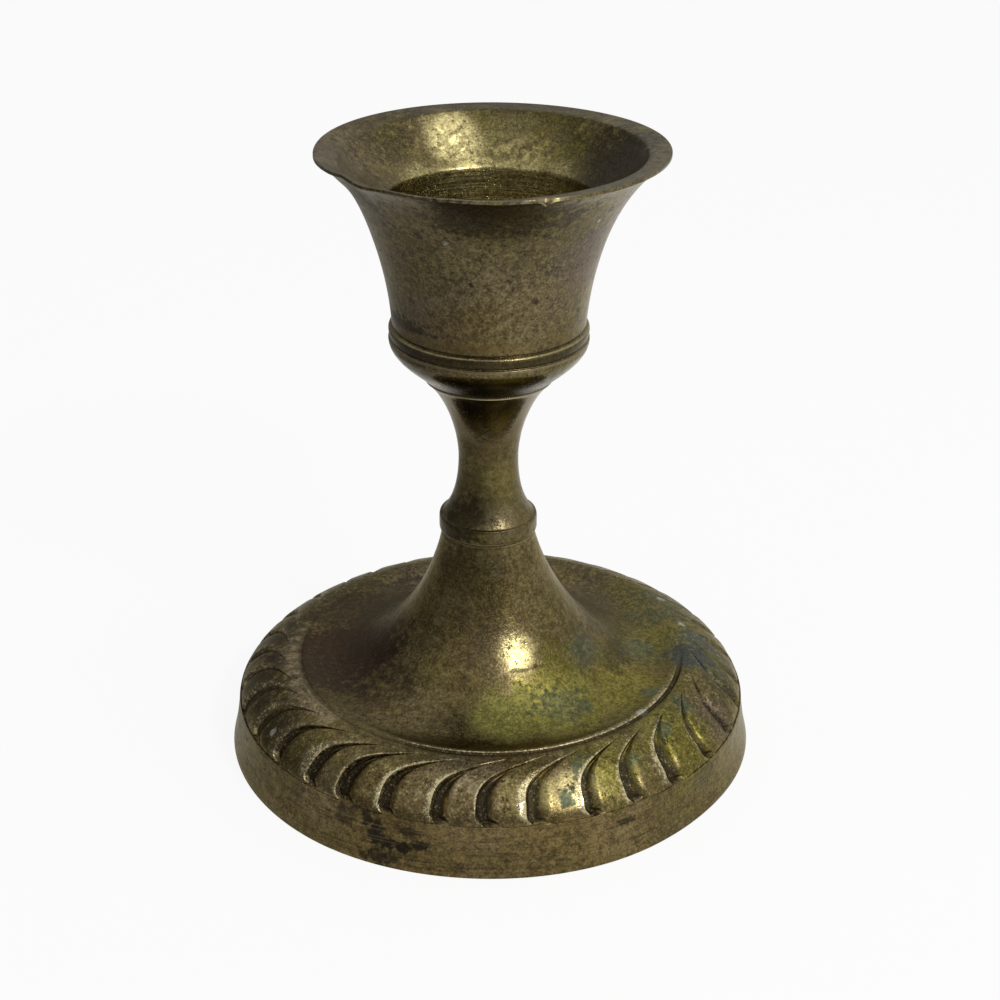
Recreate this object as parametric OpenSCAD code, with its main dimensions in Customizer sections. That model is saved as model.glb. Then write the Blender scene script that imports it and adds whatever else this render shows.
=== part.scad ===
// Taper candle holder: a turned bell cup on a waisted stem over a wide cast foot
// whose border is a ring of swirled gadroons. Millimetres, +Z up, base on z = 0.

/* [Foot] */
// Diameter over the bottom of the foot
base_d = 76.8; // [70:0.2:82]
// Height of the plain skirt under the gadrooned border
skirt_h = 7.4; // [6:0.1:9]
// How much the skirt draws in, on the radius, from the base to its top
skirt_draw = 1.2; // [0.8:0.05:1.5]
// Height of the gadrooned border above the skirt
border_h = 5.6; // [4.6:0.1:6.4]
// Width of the gadrooned border, on the radius
border_w = 7.6; // [6.8:0.1:8.4]
// Number of lobes around the border
lobe_count = 34; // [28:1:38]
// Depth of the grooves between the lobes
lobe_depth = 0.95; // [0.5:0.05:1.1]
// How far each groove sweeps round on its way in, in degrees
lobe_sweep = 17; // [0:1:18]
// Where the first groove starts, in degrees round from the right
lobe_start = 3.6; // [0:0.1:10]
// Width of the flat fillet inside the border
fillet_w = 1.1; // [0.8:0.1:1.6]
// Width of the turned ring groove inside the fillet
ring_w = 0.8; // [0.5:0.1:1.2]
// Depth of the turned ring groove
ring_depth = 0.5; // [0.3:0.1:0.8]
// Height of the dome and its neck above the border
dome_h = 20.2; // [18:0.2:23]
// Diameter of the neck under the stem
neck_d = 13.4; // [12.8:0.1:13.6]
// Thickness of the cast wall
foot_wall = 2.4; // [2:0.1:2.8]
// Height of the solid neck that the stem bolts down through
neck_solid_h = 11.2; // [9.6:0.2:12]

/* [Stem] */
// Diameter of the band at the bottom of the stem
knop_d = 13.9; // [13.7:0.1:15]
// Height of the band
knop_h = 2.4; // [1.8:0.1:3.4]
// Height from the band up to the waist
lower_flare_h = 8.6; // [7:0.2:12]
// Diameter at the waist
waist_d = 8.4; // [7.4:0.1:9.6]
// Height from the waist up to the cup
upper_flare_h = 12.5; // [10:0.5:18]
// Diameter of the fine collar under the cup
collar_d = 17.9; // [16.6:0.1:18.6]

/* [Cup] */
// Height of the rounded underside of the cup
bowl_h = 5.8; // [5.4:0.1:6.6]
// Thickness of the cup's wall at the bottom of the bell
cup_wall = 1.9; // [1.6:0.1:2.6]
// How far the lower bead stands out from the bell
bead_proud = 0.5; // [0.3:0.1:0.9]
// Height of the pair of beads
bead_h = 1.9; // [1.4:0.1:2.4]
// Height of the bell
bell_h = 24; // [22:0.5:28]
// Diameter over the rim
rim_d = 46.7; // [44:0.1:50]
// Width of the flat flange round the mouth
flange_w = 2.95; // [2:0.05:3.4]
// Depth of the funnel from the rim down to the lip of the well
funnel_h = 6.6; // [5.5:0.1:7]
// How far the well widens on the radius, from the seat to its lip
lip_flare = 2.5; // [2:0.1:3]

/* [Candle] */
// Bore of the seat: a standard taper is 22.2 mm
seat_d = 22.7; // [19:0.1:26]
// Length of the straight seat
seat_h = 9; // [7:0.5:10]

/* [Fixing] */
// Diameter of the threaded spigots on the stem
thread_d = 6; // [5:0.5:6]
// Length of the spigot inside the cup
top_spigot_h = 4.4; // [3.5:0.1:4.4]
// How far the lower spigot stands out below the nut
spigot_end = 1.2; // [0.6:0.1:2]
// Thickness of the nut
nut_h = 5; // [4:0.5:5.5]
// Width of the nut across its flats
nut_af = 10; // [9:0.5:10.5]
// Diameter of the washer
washer_d = 12; // [11:0.5:12.5]
// Thickness of the washer
washer_h = 1.2; // [0.8:0.1:1.6]

/* [Hidden] */
$fn = 120;
overrun = 1;
thread_gap = 0.05;
hole_gap = 0.25;
edge = 0.25;
base_r = base_d / 2;
neck_r = neck_d / 2;
knop_r = knop_d / 2;
waist_r = waist_d / 2;
collar_r = collar_d / 2;
rim_r = rim_d / 2;
seat_r = seat_d / 2;
lip_r = seat_r + lip_flare;
bell_r = seat_r + cup_wall;
bead_r = bell_r + bead_proud;
thread_r = thread_d / 2;

// Levels, each one stacked on the one below
crest_z = skirt_h + border_h;
neck_z = crest_z + dome_h;
knop_z = neck_z + knop_h;
waist_z = knop_z + lower_flare_h;
cup_z = waist_z + upper_flare_h;
bead_z = cup_z + bowl_h;
bell_z = bead_z + bead_h;
rim_z = bell_z + bell_h;
lip_z = rim_z - funnel_h;
ceiling_z = neck_z - neck_solid_h;

// Radii on top of the foot
skirt_top_r = base_r - skirt_draw;
ledge_w = 0.2;
border_r = skirt_top_r - ledge_w;
crest_r = border_r - border_w;
ring_r = crest_r - fillet_w;
dome_r = ring_r - ring_w;
dome_drop = 0.1;
neck_land = 1;
skirt_wall = 2.6;

// Curve controls, as shares of the run from one end to the other: [across, up]
skirt_shares = [[0.518, 0.33], [0.852, 0.67]];
border_shares = [[0.02, 0.28], [0.46, 0.86]];
dome_shares = [[0.499, -0.207], [0.914, 0.558]];
lower_shares = [[0.619, 0.195], [1, 0.524]];
upper_shares = [[0, 0.326], [0.359, 0.764]];
bowl_shares = [[0.311, 0.358], [1, 0.59]];
bell_shares = [[0.039, 0.31], [0.355, 0.869]];
funnel_shares = [[0.28, 0.38], [0.62, 0.72]];

// One groove and the lobe beside it: [share of the pitch, share of the depth]
lobe_shares = [[0, 0], [0.07, 0.9], [0.14, 1], [0.23, 0.8], [0.34, 0.28], [0.48, 0.05], [0.76, 0]];
// Where along the border the rows of the lobes lie
row_shares = [0, 0.06, 0.18, 0.34, 0.5, 0.64, 0.74, 0.83, 0.91, 0.96, 1];
// Part of the border's run over which the grooves go straight in, and over which they fade out
straight_share = 0.3;
fade_share = 0.58;
sweep_power = 3.8;
fade_power = 1.1;

// Well of the cup
floor_z = bead_z;
seat_z = floor_z + seat_h;
mouth_h = 5.5;
mouth_draw = 0.92;
flange_drop = 0.3;
rim_edge = 0.5;
bead_cove = 0.85;
cove_shares = [0.16, 0.5, 0.62];
upper_bead_draw = 0.25;
collar_h = 0.4;
collar_step = 0.2;
knop_step = 0.35;

// Point on a cubic curve from a to b, its controls given as shares of the run
function along(a, b, share) = [a[0] + (b[0] - a[0]) * share[0], a[1] + (b[1] - a[1]) * share[1]];
function cubic(a, b, shares, t) =
    pow(1 - t, 3) * a
    + 3 * pow(1 - t, 2) * t * along(a, b, shares[0])
    + 3 * (1 - t) * t * t * along(a, b, shares[1])
    + pow(t, 3) * b;
function slope(a, b, shares, t) =
    3 * pow(1 - t, 2) * (along(a, b, shares[0]) - a)
    + 6 * (1 - t) * t * (along(a, b, shares[1]) - along(a, b, shares[0]))
    + 3 * t * t * (b - along(a, b, shares[1]));
function unit(v) = v / norm(v);
// The curve as points, its first point left out
function curve(a, b, shares, steps) = [for (i = [1:steps]) cubic(a, b, shares, i / steps)];
// The same curve moved a distance to the left of its direction
function beside(a, b, shares, steps, distance) = [
    for (i = [0:steps])
        let (d = unit(slope(a, b, shares, i / steps)))
        cubic(a, b, shares, i / steps) + distance * [-d[1], d[0]]
];

// Ends of the curves
skirt_a = [base_r, edge];
skirt_b = [skirt_top_r, skirt_h];
border_a = [border_r, skirt_h];
border_b = [crest_r, crest_z];
dome_a = [dome_r, crest_z - dome_drop];
dome_b = [neck_r, neck_z - neck_land];
flare_end = [collar_r - collar_step, cup_z - collar_h];

// Share of full depth that a groove has at t along the border
function fade(t) = t < fade_share ? 1 : pow(cos(90 * (t - fade_share) / (1 - fade_share)), fade_power);
// Angle through which a groove has swept at t along the border
function swept(t) =
    let (run = (t - straight_share) / (1 - straight_share))
    run < 0 ? 0 : lobe_sweep * pow(run, sweep_power);
// Angle of column c of lobe n, turned by a sweep
function column(n, c, turn) = (n + lobe_shares[c][0]) * 360 / lobe_count + lobe_start + turn;
// A plain ring of points with the columns of the lobes
function plain_ring(r, z, turn) = [
    for (n = [0:lobe_count - 1])
        for (c = [0:len(lobe_shares) - 1])
            [r * cos(column(n, c, turn)), r * sin(column(n, c, turn)), z]
];
// A ring of the lobed surface at t along the border, pressed in by the grooves
function lobed_ring(t) =
    let (
        p = cubic(border_a, border_b, border_shares, t),
        d = unit(slope(border_a, border_b, border_shares, t)),
        inward = t == 0 ? [-1, 0] : [-d[1], d[0]]
    )
    [
        for (n = [0:lobe_count - 1])
            for (c = [0:len(lobe_shares) - 1])
                let (q = p + lobe_depth * fade(t) * lobe_shares[c][1] * inward)
                [q[0] * cos(column(n, c, swept(t))), q[0] * sin(column(n, c, swept(t))), q[1]]
    ];

// The space above the border, its underside shaped by the lobes
module border_space() {
    columns = lobe_count * len(lobe_shares);
    past = border_b + overrun * unit(border_b - along(border_a, border_b, border_shares[1]));
    points = [
        each plain_ring(base_r + overrun, skirt_h, 0),
        for (t = row_shares) each lobed_ring(t),
        each plain_ring(past[0], past[1], lobe_sweep),
        each plain_ring(base_r + overrun, crest_z + 2 * overrun, 0)
    ];
    rings = len(row_shares) + 3;
    faces = [
        for (i = [0:rings - 1])
            for (j = [0:columns - 1])
                let (
                    low = i * columns,
                    high = (i + 1) % rings * columns,
                    next = (j + 1) % columns
                )
                each [[low + j, low + next, high + j], [low + next, high + next, high + j]]
    ];
    polyhedron(points, faces);
}

// Cast foot: plain skirt, gadrooned border, ring groove and trumpet dome, hollow beneath
module foot() {
    steps = 16;
    inner = foot_wall + lobe_depth / 2;
    color("#8a7640")
    difference() {
        rotate_extrude()
        polygon([
            [0, 0],
            [base_r - edge, 0],
            skirt_a,
            each curve(skirt_a, skirt_b, skirt_shares, 4),
            [skirt_top_r, crest_z],
            [ring_r, crest_z],
            [ring_r - ring_w / 2, crest_z - ring_depth],
            dome_a,
            each curve(dome_a, dome_b, dome_shares, steps),
            [neck_r, neck_z],
            [0, neck_z]
        ]);
        border_space();
        intersection() {
            rotate_extrude()
            polygon([
                [0, -overrun],
                [base_r - skirt_wall, -overrun],
                [base_r - skirt_wall - skirt_draw, skirt_h],
                each beside(border_a, border_b, border_shares, 6, inner),
                each beside(dome_a, dome_b, dome_shares, steps, foot_wall),
                [0, neck_z]
            ]);
            translate([0, 0, -overrun])
            cylinder(h = ceiling_z + overrun, r = base_r);
        }
        translate([0, 0, ceiling_z - overrun])
        cylinder(h = neck_solid_h + 2 * overrun, r = thread_r + hole_gap);
    }
}

// Turned stem: band, waist, flare and collar, with a threaded spigot at each end
module stem() {
    low_z = ceiling_z - washer_h - nut_h - spigot_end;
    color("#94803f") {
        union() {
            rotate_extrude()
            polygon([
                [0, neck_z],
                [knop_r - edge, neck_z],
                [knop_r, neck_z + edge],
                [knop_r, knop_z - edge],
                [knop_r - edge, knop_z],
                [knop_r - knop_step, knop_z],
                each curve([knop_r - knop_step, knop_z], [waist_r, waist_z], lower_shares, 10),
                each curve([waist_r, waist_z], flare_end, upper_shares, 12),
                [collar_r, cup_z - collar_h],
                [collar_r, cup_z],
                [0, cup_z]
            ]);
            translate([0, 0, low_z])
            cylinder(h = neck_z - low_z + overrun, r = thread_r);
            translate([0, 0, cup_z - overrun])
            cylinder(h = top_spigot_h + overrun, r = thread_r);
        }
    }
}

// Turned cup: rounded underside, pair of beads, flared bell, funnel mouth and candle well
module candle_cup() {
    bowl_a = [collar_r + collar_step / 2, cup_z];
    bell_a = [bell_r, bell_z];
    bell_b = [rim_r - rim_edge / 2, rim_z - rim_edge];
    flange_b = [rim_r - flange_w, rim_z - flange_drop];
    color("#8f7b3d")
    difference() {
        rotate_extrude()
        polygon([
            [0, cup_z],
            bowl_a,
            each curve(bowl_a, [bead_r, bead_z], bowl_shares, 9),
            [bead_r - bead_cove, bead_z + bead_h * cove_shares[0]],
            [bead_r - bead_cove, bead_z + bead_h * cove_shares[1]],
            [bead_r - upper_bead_draw, bead_z + bead_h * cove_shares[2]],
            [bead_r - upper_bead_draw, bell_z - edge],
            bell_a,
            each curve(bell_a, bell_b, bell_shares, 18),
            [rim_r, rim_z - rim_edge / 2],
            [rim_r - rim_edge / 2, rim_z],
            flange_b,
            each curve(flange_b, [lip_r, lip_z], funnel_shares, 6),
            [lip_r - mouth_draw, lip_z - mouth_h],
            [seat_r, seat_z],
            [0, seat_z]
        ]);
        translate([0, 0, floor_z])
        cylinder(h = seat_h + overrun, r = seat_r);
        translate([0, 0, cup_z - overrun])
        cylinder(h = top_spigot_h + hole_gap + overrun, r = thread_r + thread_gap);
    }
}

// Plain washer under the ceiling of the foot
module foot_washer() {
    color("#6f6a5e")
    translate([0, 0, ceiling_z - washer_h])
    difference() {
        cylinder(h = washer_h, d = washer_d);
        translate([0, 0, -overrun])
        cylinder(h = washer_h + 2 * overrun, r = thread_r + hole_gap);
    }
}

// Hex nut that pulls the stem down on to the foot
module foot_nut() {
    color("#77705f")
    translate([0, 0, ceiling_z - washer_h - nut_h])
    difference() {
        cylinder(h = nut_h, r = nut_af / 2 / cos(30), $fn = 6);
        translate([0, 0, -overrun])
        cylinder(h = nut_h + 2 * overrun, r = thread_r + thread_gap);
    }
}

candle_cup();
stem();
foot();
foot_washer();
foot_nut();
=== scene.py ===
import math

import bmesh
import bpy
from bpy.props import FloatProperty, FloatVectorProperty, IntProperty, PointerProperty
from mathutils import Matrix, Vector, noise


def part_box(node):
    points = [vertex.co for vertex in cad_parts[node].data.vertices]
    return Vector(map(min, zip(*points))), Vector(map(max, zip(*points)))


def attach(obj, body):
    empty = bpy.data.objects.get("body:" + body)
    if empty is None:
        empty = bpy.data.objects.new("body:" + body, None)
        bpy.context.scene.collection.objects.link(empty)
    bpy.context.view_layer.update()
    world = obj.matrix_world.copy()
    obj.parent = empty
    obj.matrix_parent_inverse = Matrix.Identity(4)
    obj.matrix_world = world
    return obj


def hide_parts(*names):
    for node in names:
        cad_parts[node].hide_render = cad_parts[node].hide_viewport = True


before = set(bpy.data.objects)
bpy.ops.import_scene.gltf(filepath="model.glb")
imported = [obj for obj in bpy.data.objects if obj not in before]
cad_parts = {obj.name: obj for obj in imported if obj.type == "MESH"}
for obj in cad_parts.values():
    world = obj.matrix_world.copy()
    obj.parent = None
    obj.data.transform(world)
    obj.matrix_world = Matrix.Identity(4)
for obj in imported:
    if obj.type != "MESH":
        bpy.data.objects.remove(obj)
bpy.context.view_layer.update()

bl_info = {
    "name": "Taper candle holder",
    "version": (1, 0, 0),
    "blender": (4, 5, 0),
    "location": "View3D > Sidebar > Candle holder",
    "description": "Builds an aged brass taper candle holder with a swirled gadrooned foot",
    "category": "Object",
}

MM = 0.001
ROUND = 2 * math.pi
FRONT = -math.pi / 2

cup_low, cup_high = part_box("candle_cup")
stem_low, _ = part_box("stem")
_, foot_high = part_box("foot")
washer_low, washer_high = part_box("foot_washer")
nut_low, nut_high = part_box("foot_nut")


# Settings

def length(name, description, default):
    """A length in metres, shown in the sidebar."""
    return FloatProperty(name=name, description=description, default=default, min=0, unit="LENGTH",
                         precision=5)


def turn(name, description, degrees):
    """An angle."""
    return FloatProperty(name=name, description=description, default=math.radians(degrees), subtype="ANGLE")


def amount(name, description, default):
    """A number from 0 up."""
    return FloatProperty(name=name, description=description, default=default, min=0)


def colour(name, description, default):
    """A colour in linear light."""
    return FloatVectorProperty(name=name, description=description, default=default, min=0, max=1,
                               subtype="COLOR")


class BrassSettings(bpy.types.PropertyGroup):
    """Colours of the aged brass, shared by the cup, the stem and the foot."""
    # Bare brass is also laid where the lamps' highlights fall, on the funnel, the well lip, the dome and the
    # front lobes, as painted highlight, and on the shaded well wall and funnel back as painted light.
    bare: colour("Bare brass", "Metal where the patina has worn thin", (0.62, 0.53, 0.24))
    # Worn edge also paints the highlight just under the bell and, with wear, on the gadroon crests.
    worn: colour("Worn edge", "Pale dusty metal on the sharpest edges", (0.56, 0.49, 0.28))
    patina: colour("Patina", "Olive brown skin over most of the metal", (0.114, 0.090, 0.038))
    # Soot also paints shade: on the bead and the underside of the bowl, under the front of the rim, in the
    # knop's crease and on its left, on the left of the dome and border, and with grime in the grooves.
    dark: colour("Soot", "Brown black pits, stains and dirt", (0.022, 0.016, 0.009))
    russet: colour("Russet", "Red brown tarnish", (0.038, 0.017, 0.010))
    ochre: colour("Ochre", "Yellow brown tarnish", (0.150, 0.105, 0.038))
    # Fawn also paints highlight, with wear, on the gadroon crests and the bead's lip.
    fawn: colour("Fawn", "Rubbed brown brass", (0.235, 0.190, 0.115))
    plum: colour("Plum", "Purple brown tarnish", (0.100, 0.075, 0.053))
    moss: colour("Moss", "Green gold tarnish", (0.155, 0.138, 0.024))
    lime: colour("Lime", "Bright yellow green tarnish", (0.172, 0.162, 0.034))
    verdigris: colour("Verdigris", "Blue green copper salts", (0.055, 0.082, 0.048))
    slate: colour("Slate", "Blue black stain", (0.032, 0.038, 0.034))
    ash: colour("Ash", "Pale crust", (0.50, 0.50, 0.46))


class CupSettings(bpy.types.PropertyGroup):
    """Sizes of the cup."""
    rim_radius: length("Rim radius", "Half the width over the rim", cup_high.x)
    flange: length("Flange width", "Flat ring round the mouth", 2.95 * MM)
    seat_radius: length("Seat radius", "Half the bore that holds the candle", 11.35 * MM)
    seat_depth: length("Seat length", "Straight part of the well", 9 * MM)
    wall: length("Wall", "Thickness of the cup at the bottom of the bell", 1.9 * MM)
    nick: length("Nick", "Depth of the nick in the front of the rim", 0.8 * MM)
    dish: length("Dish", "How far the flange dips inwards on the left", 0.8 * MM)
    edge: length("Rim edge", "Height of the plain edge round the rim", 0.45 * MM)


class StemSettings(bpy.types.PropertyGroup):
    """Sizes of the stem."""
    waist: length("Waist radius", "Half the thinnest width", 4.2 * MM)
    band: length("Band radius", "Half the width of the band at the bottom", 6.95 * MM)
    thread: length("Thread radius", "Half the width over the lower thread", 3 * MM)
    pitch: length("Thread pitch", "Rise of one turn of the thread", 1 * MM)


class FootSettings(bpy.types.PropertyGroup):
    """Sizes of the foot."""
    radius: length("Radius", "Half the width over the foot", foot_high.x)
    skirt: length("Skirt height", "Plain band under the border", 7.4 * MM)
    border_height: length("Border height", "Rise of the gadrooned border", 5.6 * MM)
    border_width: length("Border width", "Width of the border on the radius", 7.6 * MM)
    lobes: IntProperty(name="Lobes", description="Number of gadroons", default=34, min=8, max=60)
    lobe_depth: length("Lobe depth", "Depth of the grooves between the gadroons", 0.95 * MM)
    start: turn("Start", "Where the first groove starts, round from the right", 3.6)
    sweep: turn("Sweep", "How far each groove turns", 16.8)


class StageSettings(bpy.types.PropertyGroup):
    """Camera and light."""
    lens: amount("Lens", "Focal length in millimetres", 69.3)
    distance: length("Distance", "Camera in front of the axis", 0.24531)
    height: length("Height", "Camera above the floor", 0.15862)
    tilt: turn("Tilt", "Camera below the horizon", 26.328)
    roll: turn("Roll", "Camera about its view", math.degrees(0.005578))
    key: amount("Key light", "Power of the low lamp in watts", 1.0)
    top: amount("Top light", "Power of the high lamp in watts", 0.38)
    sky: amount("Surround", "Brightness of the surround on matt surfaces", 0.7)
    shade: amount("Shade", "Brightness left on the dim side of the surround", 0.22)


# Outlines

def cubic(start, end, shares, t):
    """Point at t on a cubic curve whose two controls are shares of the run from start to end."""
    ends = [start, *[(start[0] + (end[0] - start[0]) * across, start[1] + (end[1] - start[1]) * up)
                     for across, up in shares], end]
    weights = ((1 - t) ** 3, 3 * (1 - t) ** 2 * t, 3 * (1 - t) * t * t, t ** 3)
    return tuple(sum(w * p[i] for w, p in zip(weights, ends)) for i in (0, 1))


def curve(start, end, shares, steps):
    """Points of the cubic curve, both ends left out."""
    return [cubic(start, end, shares, i / steps) for i in range(1, steps)]


def slope(start, end, shares, t, step=1e-3):
    """Unit direction of the cubic curve at t."""
    a = Vector(cubic(start, end, shares, max(0, t - step)))
    b = Vector(cubic(start, end, shares, min(1, t + step)))
    return (b - a).normalized()


def smooth(low, high, value):
    """0 at low, 1 at high, an even run between them and level beyond; low may be above high."""
    t = max(0, min(1, (value - low) / (high - low)))
    return t * t * (3 - 2 * t)


def hump(value, middle, width):
    """1 at the middle, falling to nothing on both sides."""
    return math.exp(-((value - middle) / width) ** 2)


def rounded(points, steps=4):
    """The outline, where a third number in a point is the radius that rounds its corner."""
    result = []
    for i, point in enumerate(points):
        if len(point) == 2:
            result.append(point)
            continue
        here = Vector(point[:2])
        before, after = Vector(points[i - 1][:2]) - here, Vector(points[(i + 1) % len(points)][:2]) - here
        first = here + before.normalized() * min(point[2], before.length * 0.48)
        last = here + after.normalized() * min(point[2], after.length * 0.48)
        for k in range(steps + 1):
            t = k / steps
            result.append(tuple((1 - t) ** 2 * first + 2 * t * (1 - t) * here + t * t * last))
    return result


def turned(outline, sides, closed=True, shares=()):
    """A bmesh of the outline, in millimetres, spun round the axis. Each vertex keeps its point's share."""
    bm = bmesh.new()
    kept = bm.verts.layers.float.new("share")
    verts = [bm.verts.new((r * MM, 0, z * MM)) for r, z in outline]
    for v, value in zip(verts, shares):
        v[kept] = value
    pairs = list(zip(verts, verts[1:]))
    if closed:
        pairs.append((verts[-1], verts[0]))
    edges = [bm.edges.new(pair) for pair in pairs if (pair[0].co - pair[1].co).length > 1e-9]
    bmesh.ops.spin(bm, geom=verts + edges, cent=(0, 0, 0), axis=(0, 0, 1), angle=ROUND, steps=sides,
                   use_merge=True, use_duplicate=False)
    bmesh.ops.remove_doubles(bm, verts=bm.verts, dist=1e-7)
    bmesh.ops.recalc_face_normals(bm, faces=bm.faces)
    return bm


def finished(name, bm, node, material):
    """Makes the bmesh a smooth-shaded piece that stands for a CAD node."""
    mesh = bpy.data.meshes.new(name)
    bm.to_mesh(mesh)
    bm.free()
    mesh.polygons.foreach_set("use_smooth", [True] * len(mesh.polygons))
    piece = bpy.data.objects.new(name, mesh)
    bpy.context.scene.collection.objects.link(piece)
    mesh.materials.append(material)
    sharpen = piece.modifiers.new("crisp edges", "EDGE_SPLIT")
    sharpen.split_angle = math.radians(50)
    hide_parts(node)
    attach(piece, "root")


def wander(bm, reach, size, keep_below):
    """Moves the vertices a little in and out, as a hand-finished surface wanders."""
    for v in bm.verts:
        flat = Vector((v.co.x, v.co.y, 0))
        if v.co.z > keep_below and flat.length > 0.1 * MM:
            v.co += flat.normalized() * reach * noise.noise(v.co / size)


def leaning(bm, lean=0.38 * MM):
    """Moves the neck, the stem and the cup a little left, as the old stem is bent."""
    for v in bm.verts:
        z = v.co.z / MM
        v.co.x -= lean * smooth(20, 34, z) * (1 - smooth(76, 88, z))


# Finishes

class Value:
    """A socket in a node tree. Python's operators on it add Math nodes."""

    def __init__(self, finish, socket):
        self.finish = finish
        self.socket = socket

    def maths(self, operation, *others, clamp=False):
        return self.finish.add("ShaderNodeMath", {"operation": operation, "use_clamp": clamp}, *others)

    def __add__(self, other):
        return self.maths("ADD", self, other)

    def __radd__(self, other):
        return self.maths("ADD", other, self)

    def __sub__(self, other):
        return self.maths("SUBTRACT", self, other)

    def __rsub__(self, other):
        return self.maths("SUBTRACT", other, self)

    def __mul__(self, other):
        return self.maths("MULTIPLY", self, other)

    def __rmul__(self, other):
        return self.maths("MULTIPLY", other, self)

    def __truediv__(self, other):
        return self.maths("DIVIDE", self, other)

    def __pow__(self, other):
        return self.maths("POWER", self, other)

    def held(self):
        """The value kept between 0 and 1."""
        return self.maths("ADD", self, 0, clamp=True)

    def least(self, other):
        return self.maths("MINIMUM", self, other)

    def most(self, other):
        return self.maths("MAXIMUM", self, other)

    def rise(self, low, high):
        """0 below low, 1 above high and smooth between; it falls where low is above high."""
        settings = {"interpolation_type": "SMOOTHSTEP", "clamp": True}
        if low <= high:
            return self.finish.add("ShaderNodeMapRange", settings, self, low, high, 0, 1)
        return self.finish.add("ShaderNodeMapRange", settings, self, high, low, 1, 0)


class Finish:
    """The node tree of a material or a world, and the few kinds of node that its recipes use."""

    def __init__(self, owner, coordinates="Object"):
        owner.use_nodes = True
        self.owner = owner
        self.tree = owner.node_tree
        self.tree.nodes.clear()
        self.place = self.add("ShaderNodeTexCoord", output=coordinates)
        split = self.add("ShaderNodeSeparateXYZ", {}, self.place, output=None)
        self.x, self.y, self.z = [Value(self, split.outputs[axis]) for axis in "XYZ"]

    def add(self, kind, settings=None, *values, output=0, places=None, **named):
        """Adds a node, applies its settings, then fills its sockets with values or links.

        Values go to the sockets in order, places gives them by number, and the rest go by name.
        """
        node = self.tree.nodes.new(kind)
        for key, value in (settings or {}).items():
            setattr(node, key, value)
        for key, value in [*enumerate(values), *(places or {}).items(), *named.items()]:
            socket = node.inputs[key.replace("_", " ") if isinstance(key, str) else key]
            if isinstance(value, Value):
                self.tree.links.new(value.socket, socket)
            else:
                socket.default_value = value
        if output is None:
            return node
        return Value(self, node.outputs[output])

    def blend(self, mask, under, over):
        """The colour under, with over laid on it where mask is 1."""
        under, over = [tint if isinstance(tint, Value) else (*tint, 1) for tint in (under, over)]
        return self.add("ShaderNodeMix", {"data_type": "RGBA"}, output=2,
                        places={0: mask, 6: under, 7: over})

    def cloud(self, size, detail=4, roughness=0.55, shift=(0, 0, 0), at=None):
        """Noise from 0 to 1 whose patches are about that size in metres."""
        at = self.add("ShaderNodeMapping", {}, at or self.place, Location=shift)
        return self.add("ShaderNodeTexNoise", {}, Vector=at, Scale=1 / size, Detail=detail,
                        Roughness=roughness)

    def gap(self, spot, squash=(1, 1, 1)):
        """Distance in metres from a spot, with each axis counted by its share in squash."""
        away = self.add("ShaderNodeVectorMath", {"operation": "SUBTRACT"}, self.place, spot)
        away = self.add("ShaderNodeVectorMath", {"operation": "MULTIPLY"}, away, squash)
        return self.add("ShaderNodeVectorMath", {"operation": "LENGTH"}, away, output="Value")

    def kept(self, name):
        """A value that the mesh keeps at its vertices."""
        return self.add("ShaderNodeAttribute", {"attribute_name": name}, output="Fac")

    def rays(self):
        """1 for rays from the camera, for mirrored rays and for rays through glass, in that order."""
        node = self.add("ShaderNodeLightPath", output=None)
        return [Value(self, node.outputs[f"Is {kind} Ray"]) for kind in ("Camera", "Glossy", "Transmission")]

    def close(self, shader, end="ShaderNodeOutputMaterial"):
        """Ends the tree in the shader and gives back what it belongs to."""
        self.add(end, output=None, Surface=shader)
        return self.owner


def at_front(radius, angle, height):
    """A place on the object in metres: radius and height in millimetres, degrees round from the front."""
    a = math.radians(angle)
    return (radius * MM * math.sin(a), -radius * MM * math.cos(a), height * MM)


# The kinds of patch in the order they are laid: ragged edge, extra roughness, loss of metal, relief
PATCHES = {
    "russet": (0.9, 0, 0.10, 0),
    "plum": (1.6, 0.05, 0.10, 0),
    "fawn": (1.6, 0.02, 0, 0),
    "ochre": (1.6, 0, 0.05, 0),
    "moss": (1.6, 0, 0.05, 0),
    "lime": (1.0, 0.28, 0.45, 0),
    "bare": (1.4, -0.05, 0, 0),
    "dark": (1.8, 0.10, 0.10, 0),
    "verdigris": (2.2, 0.25, 0.60, 0.3),
    "slate": (1.2, 0.10, 0.40, 0.1),
    "ash": (0.8, 0.30, 0.80, 0.3),
}
# Where a patch is full and where it ends, as shares of its reach, and the soft edge of a band in millimetres
PATCH_FULL, PATCH_END = 0.55, 1.15
BAND_EDGE = 0.08


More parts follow.
